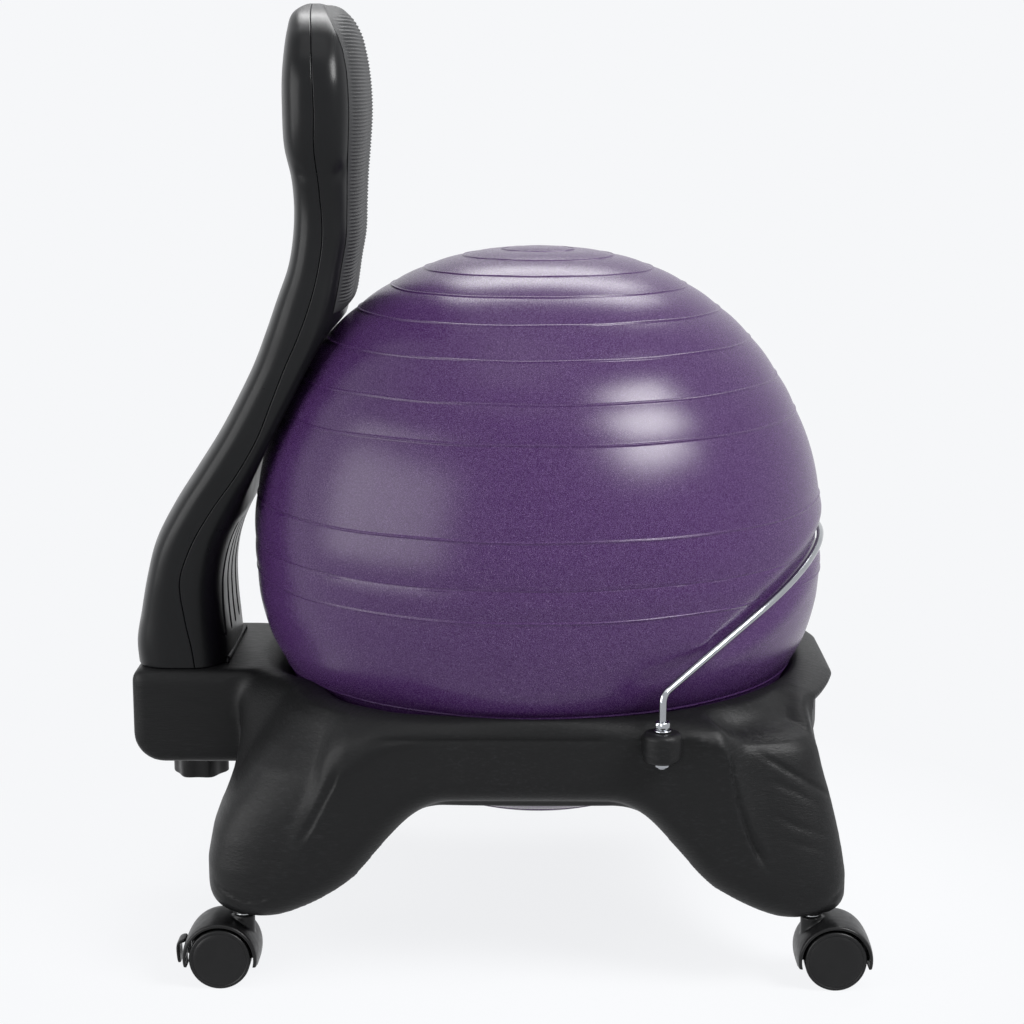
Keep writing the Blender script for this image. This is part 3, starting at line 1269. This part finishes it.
def half_shell(name, front):
    """The front or the rear shell, closed along the seam, with its edges rounded."""
    edge = np.array(SEAM_EDGE_STEPS) * SEAM_ROUND
    dense = np.linspace(-math.pi, math.pi, OUTLINE_STEPS)
    rings = []
    for share in back_shares():
        row = back_row(share)
        outline = back_outline(row, dense if front else dense + math.pi)
        rise, room = row["height"] - BACK_FOOT, BACK_FOOT + BACK_HEIGHT - row["height"]
        pull = float(rounding(rise, BACK_FOOT_ROUND) + rounding(room, BACK_TOP_ROUND))
        slope = np.gradient(outline, axis=0)
        slope /= np.maximum(np.linalg.norm(slope, axis=1), 1e-12)[:, None]
        outline = outline + np.stack([-slope[:, 1], slope[:, 0]], axis=-1) * pull
        steps = np.linalg.norm(np.diff(outline, axis=0), axis=1)
        along = np.concatenate([[0], np.cumsum(steps)])
        along -= along[-1] / 2
        turn = seam_angle(row)
        end = np.interp(turn if front else math.pi - turn, dense, along) - SEAM_GAP / 2
        inner = np.linspace(-end + edge[-1], end - edge[-1], SHELL_COLUMNS + 2)[1:-1]
        place = np.concatenate([-end + edge, inner, (end - edge)[::-1]])
        before, here, after = (
            np.stack([np.interp(place + step, along, outline[:, k]) for k in (0, 1)], axis=-1)
            for step in (-OUTLINE_PROBE, 0, OUTLINE_PROBE))
        ahead = after - before
        ahead /= np.linalg.norm(ahead, axis=1)[:, None]
        inward = np.stack([-ahead[:, 1], ahead[:, 0]], axis=-1)
        points = here + inward * rounding(end - np.abs(place), SEAM_ROUND)[:, None]
        chord = np.linspace(0, 1, 12)[1:-1, None]
        points = np.concatenate([points, points[-1] + (points[0] - points[-1]) * chord])
        rings.append([(AXIS_X + px, py, row["height"]) for px, py in points])
    shell = lofted(name, rings, caps=True)
    points = vertices_of(shell)
    for crease in SHOULDER_CREASES:
        for sign in (1, -1):
            line = [Vector((AXIS_X + x, sign * y, z)) for x, y, z in crease]
            points = pushed_in(points, line, SHOULDER_DEPTH, SHOULDER_WIDTH, (AXIS_X + SHOULDER_MIDDLE, 0))
    set_vertices(shell, points)
    return shell


def make_backrest():
    front = half_shell("backrest_front_skin", True)
    rear = half_shell("backrest_rear_skin", False)
    cut_slots(front)
    finish_with(front, "backrest_black", replaces=["backrest_front_shell"])
    finish_with(rear, "backrest_black", replaces=["backrest_rear_shell"])
    make_panel()


def slot_outline(middle, radius):
    """A slot's outline as (y, z), once round."""
    low, high = SLOT_HEIGHTS
    ends = (high - SLOT_WIDTH / 2, low + SLOT_WIDTH / 2)
    heights = np.linspace(high, low, 24)[1:-1]
    outline = []
    for end, first, side, column in ((ends[0], 0, -1, heights), (ends[1], math.pi, 1, heights[::-1])):
        outline += [(middle + radius * math.cos(turn), end + radius * math.sin(turn))
                    for turn in np.linspace(first, first + math.pi, 13)]
        outline += [(middle + side * radius, height) for height in column]
    return outline


def cut_slots(front):
    """Upright slots through the lower front, each with a flared mouth that catches the light."""
    cutters = []
    for i in range(SLOT_COUNT):
        middle = (i - (SLOT_COUNT - 1) / 2) * SLOT_PITCH
        rings = []
        for off, flare in SLOT_FLARES:
            outline = slot_outline(middle, SLOT_WIDTH / 2 + flare)
            rings.append([(front_face(middle, z) + off, y, z) for y, z in outline])
        cutters.append(lofted("slot", rings, caps=True))
    cut_out(front, joined("slots", cutters))
    smooth_all(front)
    sharpened(front, SLOT_SHARP_ANGLE)


def make_panel():
    """The pad with fine level ribs on the front of the head and the waist."""
    low, high = (BACK_FOOT + BACK_HEIGHT * share for share in PANEL_SHARES)
    total = int((high - low) / RIB_PITCH) * RIB_STEPS
    rows = []
    for i in range(total + 1):
        height = low + (high - low) * i / total
        share = (height - BACK_FOOT) / BACK_HEIGHT
        half = min(PANEL_HALF_WIDTH, back_row(share)["half"] * float(table_at(PANEL_COVER, share)))
        end = min(i, total - i) / total
        ease = min(1.0, end / PANEL_END_ROUNDS[i >= total / 2])
        end_crown = math.sqrt(max(0.0, 1 - (1 - ease) ** 2))
        groove = -0.5 * math.cos(2 * math.pi * i / RIB_STEPS)
        ribbed = smoothstep((end - RIB_END_START) / RIB_END_SPAN)
        ring = []
        for j in range(PANEL_COLUMNS + 1):
            side = 1 - 2 * j / PANEL_COLUMNS
            side = math.copysign(abs(side) ** PANEL_SPREAD, side)
            y = half * side
            crown = (1 - abs(side) ** PANEL_CROWN_POWER) * end_crown
            inner = ribbed * (1 - smoothstep((abs(side) - RIB_SIDE_END) / RIB_SIDE_SPAN))
            middle = blended(RIB_MIDDLE_SHARE, 1, smoothstep(abs(side) / RIB_MIDDLE_SPAN))
            lift = PANEL_LIFT + PANEL_THICKNESS * crown + RIB_HEIGHT * groove * inner * middle
            ring.append((front_face(y, height) + lift, y, height))
        rows.append(ring)
    panel = lofted("backrest_ribbed_pad", rows, wrap_columns=False)
    finish_with(panel, "panel_black", replaces=["backrest_ribbed_panel"])


# Casters

def make_wheel(label, side):
    node = f"caster_{label}_wheel_{side}"
    low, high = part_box(node)
    middle = (low + high) / 2
    radius, half = (high.z - low.z) / 2, (high.y - low.y) / 2
    face = half - WHEEL_FACE_DEPTH
    profile = [(WHEEL_BORE, -half)] + [(radius - inset, depth - half) for inset, depth in WHEEL_INNER_RIM]
    profile += [(radius - inset, half - depth) for inset, depth in WHEEL_OUTER_RIM]
    profile += [(r, face + WHEEL_DOME * (1 - (r / radius) ** 2)) for r in WHEEL_FACE_RADII]
    profile.append((0, half))
    wheel = turned(f"{node}_rim", profile, 96, "Y")
    if (middle.y > 0) != (side == "outer"):
        wheel.data.transform(Matrix.Rotation(math.pi, 4, "X"))
    wheel.data.transform(Matrix.Translation(middle))
    finish_with(wheel, "caster_black", f"caster_{label}_{side}_wheel", [node])


def make_web():
    """The curved wall between a hood's two wheels, with rounded corners."""
    outer, inner, edge = HOOD_INNER + 0.001, WEB_BORE, WEB_ROUND
    section = []
    for r, y, first in ((outer - edge, WEB_HALF - edge, 0), (outer - edge, edge - WEB_HALF, 270),
                        (inner + edge, edge - WEB_HALF, 180), (inner + edge, WEB_HALF - edge, 90)):
        for angle in np.radians((first + 90, first + 60, first + 30, first)):
            section.append((r + edge * math.cos(angle), y + edge * math.sin(angle)))
    angles = np.radians(np.linspace(HOOD_START, 180 - HOOD_START, 72))
    rings = [[(r * math.cos(a), y, r * math.sin(a)) for r, y in section] for a in angles]
    return lofted("web", rings, caps=True)


def make_hood_mesh(braked):
    """The hood about its swivel axis, with the wheels' axle in front of it."""
    rise = HOOD_TOP - AXLE_HEIGHT
    angles = np.radians(np.linspace(HOOD_START, 180 - HOOD_START, 90))
    crown = [[(r * math.cos(a), y, r * math.sin(a)) for y, r in HOOD_SECTION] for a in angles]
    parts = [lofted("fender", crown, caps=True), make_web()]
    for part in parts:
        part.data.transform(Matrix.Translation((CASTER_TRAIL, 0, 0)))
    neck = [(0, NECK_FOOT), (NECK_RADIUS, NECK_FOOT), (NECK_RADIUS, rise - WEB_ROUND),
            (NECK_RADIUS - WEB_ROUND, rise), (0, rise)]
    parts.append(turned("neck", neck, 72))
    hood = joined("hood", parts)
    melted(hood, HOOD_VOXEL, HOOD_SMOOTHING)
    for sign in (1, -1):
        low, high = sorted((sign * WEB_HALF, sign * WELL_REACH))
        well = [(0, low), (HOOD_INNER, low), (HOOD_INNER, high), (0, high)]
        cut_out(hood, turned("well", well, 96, "Y", (CASTER_TRAIL, 0, 0)))
    if braked:
        corners = zip(NOTCH_REACH, (-1, 1), NOTCH_HEIGHTS)
        low, high = ((CASTER_TRAIL + BRAKE_PIVOT_REACH + reach, sign * (BRAKE_HALF_WIDTH + NOTCH_GAP), height)
                     for reach, sign, height in corners)
        cut_out(hood, box_object("notch", low, high))
    smooth_all(hood)
    sharpened(hood, SHARP_ANGLE)
    mesh = hood.data
    bpy.data.objects.remove(hood)
    return mesh


def make_pedal_mesh():
    """The brake pedal: a bent plate that hangs from its pivot behind the hood."""
    line = [(CASTER_TRAIL + BRAKE_PIVOT_REACH + out, BRAKE_PIVOT_RISE + up) for out, up in BRAKE_LINE]
    turns = [2 * math.pi * k / 32 for k in range(32)]
    rings = []
    last = len(line) - 1
    for i, (px, pz) in enumerate(line):
        a, b = line[max(i - 1, 0)], line[min(i + 1, last)]
        tangent = Vector((b[0] - a[0], b[1] - a[1])).normalized()
        half_width = BRAKE_HALF_WIDTH * (BRAKE_START_SHARE if i == 0 else 1)
        ring = []
        for c, s in ((math.cos(turn), math.sin(turn)) for turn in turns):
            side = half_width * math.copysign(abs(c) ** BRAKE_SIDE_POWER, c)
            out = BRAKE_HALF_THICKNESS * math.copysign(abs(s) ** BRAKE_FACE_POWER, s)
            ring.append((px - tangent.y * out, side, pz + tangent.x * out))
        rings.append(ring)
    pedal = lofted("pedal", rings, caps=True)
    soft = pedal.modifiers.new("soft", "SUBSURF")
    soft.levels = 2
    apply_modifiers(pedal)
    mesh = pedal.data
    bpy.data.objects.remove(pedal)
    return mesh


def placed(name, mesh, at, turn, body, replaces):
    """A copy of a mesh, turned about Z and set on its caster's axis."""
    copy = mesh.copy()
    copy.transform(Matrix.Translation(at) @ Matrix.Rotation(turn, 4, "Z"))
    finish_with(linked(name, copy), "caster_black", body, replaces)


def make_stem(body, x, y):
    low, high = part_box(f"{body}_stem")
    collar, edge = (high.x - low.x) / 2, COLLAR_EDGE
    foot, top = COLLAR_HEIGHTS
    profile = [(0, low.z), (PIN_RADIUS - PIN_EDGE, low.z), (PIN_RADIUS, low.z + PIN_EDGE), (PIN_RADIUS, foot),
               (collar - edge, foot), (collar, foot + edge), (collar, top - edge), (collar - edge, top),
               (GRIP_RADIUS, top), (GRIP_RADIUS, high.z - 0.003), (PIN_RADIUS, high.z - 0.001), (0, high.z)]
    finish_with(turned(f"{body}_pin", profile, 48, at=(x, y, 0)), "plated_steel", body, [f"{body}_stem"])


def make_socket(body, x, y):
    low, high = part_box(f"{body}_socket")
    outer, edge, flange = (high.x - low.x) / 2, CUP_EDGE, low.z + CUP_FLANGE
    profile = [(CUP_BORE, low.z), (outer - edge, low.z), (outer, low.z + edge), (outer, flange - edge),
               (outer - edge, flange), (CUP_SLEEVE, flange), (CUP_SLEEVE, high.z - edge),
               (CUP_SLEEVE - edge, high.z), (CUP_BORE, high.z), (CUP_BORE, low.z)]
    finish_with(turned(f"{body}_cup", profile, 56, at=(x, y, 0)), "caster_black", "chair", [f"{body}_socket"])


def make_casters():
    plain, braked, pedal = make_hood_mesh(False), make_hood_mesh(True), make_pedal_mesh()
    for label in ("front_left", "front_right", "rear_left", "rear_right"):
        for side in ("outer", "inner"):
            make_wheel(label, side)
        body = f"caster_{label}"
        low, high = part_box(f"{body}_stem")
        x, y = (low.x + high.x) / 2, (low.y + high.y) / 2
        rear = label.startswith("rear")
        at, turn = (x, y, AXLE_HEIGHT), math.pi if rear else 0
        placed(f"{body}_fender", braked if rear else plain, at, turn, body, [f"{body}_hood"])
        if rear:
            placed(f"{body}_pedal_plate", pedal, at, turn, f"{body}_brake", [f"{body}_brake_pedal"])
        make_stem(body, x, y)
        make_socket(body, x, y)


# Knob

def make_knob():
    """The lobed grip with its hub, and a shallow recess in its underside."""
    low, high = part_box("knob_grip")
    top = high.z - KNOB_HUB_HEIGHT
    turns = np.linspace(0, math.pi / 2, 6)
    levels = [(KNOB_EDGE * (1 - math.sin(t)), low.z + KNOB_EDGE * (1 - math.cos(t))) for t in turns]
    levels += [(KNOB_EDGE * (1 - math.cos(t)), top - KNOB_EDGE * (1 - math.sin(t))) for t in turns]
    angles = np.linspace(0, 2 * math.pi, KNOB_COLUMNS, endpoint=False)
    wave = (1 - np.cos(KNOB_LOBES * angles)) / 2
    lobed = (high.x - low.x) / 2 - KNOB_VALLEY * wave ** KNOB_LOBE_POWER

    def level_ring(reach, z):
        x, y = KNOB_X + reach * np.cos(angles), reach * np.sin(angles)
        return np.stack([x, y, np.full(KNOB_COLUMNS, z)], axis=-1)

    recess, depth = KNOB_RECESS
    rings = [level_ring(recess, low.z + depth), level_ring(recess, low.z)]
    rings += [level_ring(lobed - inset, z) for inset, z in levels]
    rings += [level_ring(KNOB_HUB_RADIUS + KNOB_HUB_FLARE, top), level_ring(KNOB_HUB_RADIUS, top + 0.001),
              level_ring(KNOB_HUB_RADIUS, high.z)]
    grip = lofted("knob_lobed_grip", rings, caps=True)
    sharpened(grip, SHARP_ANGLE)
    finish_with(grip, "caster_black", "clamp_knob", ["knob_grip"])


# Small parts

def make_screws():
    """The backrest's screws: round heads with a crossed recess."""
    for place in ("lower_left", "lower_right", "upper_left", "upper_right"):
        node = f"backrest_screw_{place}"
        low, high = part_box(node)
        radius, length = (high.y - low.y) / 2, high.x - low.x
        turns = np.linspace(0.3, math.pi / 2, 8)
        dome = [(radius * math.sin(t), SCREW_DOME * (1 - math.cos(t))) for t in turns]
        profile = [*SCREW_RECESS, *dome, (radius, SCREW_HEAD), (SCREW_RADIUS, SCREW_HEAD),
                   (SCREW_RADIUS, length - 0.002), (0, length)]
        screw = turned(f"{node}_head", profile, 48, "X", (low.x, (low.y + high.y) / 2, (low.z + high.z) / 2))
        finish_with(screw, "plated_steel", replaces=[node])


# Carried-over CAD nodes keep their shape and get these finishes
CARRIED_FINISHES = {
    "ball_valve_plug": "plug_white", "knob_washer": "plated_steel", "knob_stud": "plated_steel",
    "backrest_threaded_insert": "insert_brass",
}


def dress_carried():
    for name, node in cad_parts.items():
        if node.hide_render:
            continue
        metal = name.endswith("_axle") or name.startswith("backrest_screw")
        material = CARRIED_FINISHES.get(name, "plated_steel" if metal else "caster_black")
        node.data.materials.clear()
        node.data.materials.append(MATERIALS[material])


# Stage

def seen_directly(nodes, links):
    """1 for rays from the camera, off gloss or through clear matter, and 0 for all others."""
    path = nodes.new("ShaderNodeLightPath")
    seen = path.outputs["Is Camera Ray"]
    for other in ("Is Glossy Ray", "Is Transmission Ray"):
        node = nodes.new("ShaderNodeMath")
        node.operation = "MAXIMUM"
        links.new(seen, node.inputs[0])
        links.new(path.outputs[other], node.inputs[1])
        seen = node.outputs[0]
    return seen


def floor_pale():
    """Pale paper that keeps the shadow near the chair and runs into the background further out."""
    shader = Shader("floor_pale", GROUND_COLOR, FLOOR_ROUGHNESS, specular=0.0)
    darker = tuple(c * FLOOR_DARKER for c in GROUND_COLOR)
    shader.color(shader.mixed(shader.noise(3, 2, 0.5), darker, GROUND_COLOR))
    glow = shader.nodes.new("ShaderNodeEmission")
    glow.inputs["Color"].default_value = (*GROUND_COLOR, 1)
    away = shader.ranged(shader.vector("LENGTH", shader.place), *FLOOR_BLEND, FLOOR_GLOW, 1)
    mix = shader.nodes.new("ShaderNodeMixShader")
    seen = seen_directly(shader.nodes, shader.links)
    for source, socket in ((shader.maths("MULTIPLY", seen, away), mix.inputs["Fac"]),
                           (shader.surface.outputs[0], mix.inputs[1]), (glow.outputs[0], mix.inputs[2]),
                           (mix.outputs[0], shader.nodes["Material Output"].inputs["Surface"])):
        shader.links.new(source, socket)
    return shader.material


def make_stage():
    corners = [(x * FLOOR_HALF, y * FLOOR_HALF, 0) for x, y in ((-1, -1), (1, -1), (1, 1), (-1, 1))]
    floor = add_object("floor", corners, [(0, 1, 2, 3)])
    floor.data.materials.append(floor_pale())


def make_world():
    world = bpy.data.worlds.new("studio")
    bpy.context.scene.world = world
    world.use_nodes = True
    nodes, links = world.node_tree.nodes, world.node_tree.links
    background = nodes["Background"]
    background.inputs["Color"].default_value = (*GROUND_COLOR, 1)
    strength = nodes.new("ShaderNodeMapRange")
    strength.inputs["To Min"].default_value = WORLD_LIGHT
    links.new(seen_directly(nodes, links), strength.inputs["Value"])
    links.new(strength.outputs["Result"], background.inputs["Strength"])


def add_light(name, azimuth, height, distance, size, power):
    """A soft box at an azimuth off the camera's side, an elevation and a distance from the chair's middle."""
    data = bpy.data.lights.new(name, "AREA")
    data.shape = "RECTANGLE"
    data.size, data.size_y = size
    data.energy = power
    lamp = linked(name, data)
    turn, rise = math.radians(azimuth), math.radians(height)
    level = math.cos(rise)
    away = Vector((math.sin(turn) * level, -math.cos(turn) * level, math.sin(rise))) * distance
    lamp.location = Vector((AXIS_X, 0, LIGHT_MIDDLE)) + away
    lamp.rotation_euler = (-away).to_track_quat("-Z", "Y").to_euler()


def make_camera():
    data = bpy.data.cameras.new("camera")
    data.lens = CAMERA_LENS
    data.sensor_width = CAMERA_SENSOR
    data.sensor_fit = "HORIZONTAL"
    camera = linked("camera", data)
    camera.location = (AXIS_X + CAMERA_OFFSET, -CAMERA_DISTANCE, CAMERA_HEIGHT)
    camera.rotation_euler = (math.radians(90 - CAMERA_PITCH), 0, math.radians(CAMERA_YAW))
    bpy.context.scene.camera = camera


make_camera()
make_ball()
make_bar()
make_base()
make_backrest()
make_casters()
make_knob()
make_screws()
dress_carried()
make_stage()
make_world()
for light in LIGHTS:
    add_light(*light)
bpy.context.scene.view_settings.view_transform = "Standard"
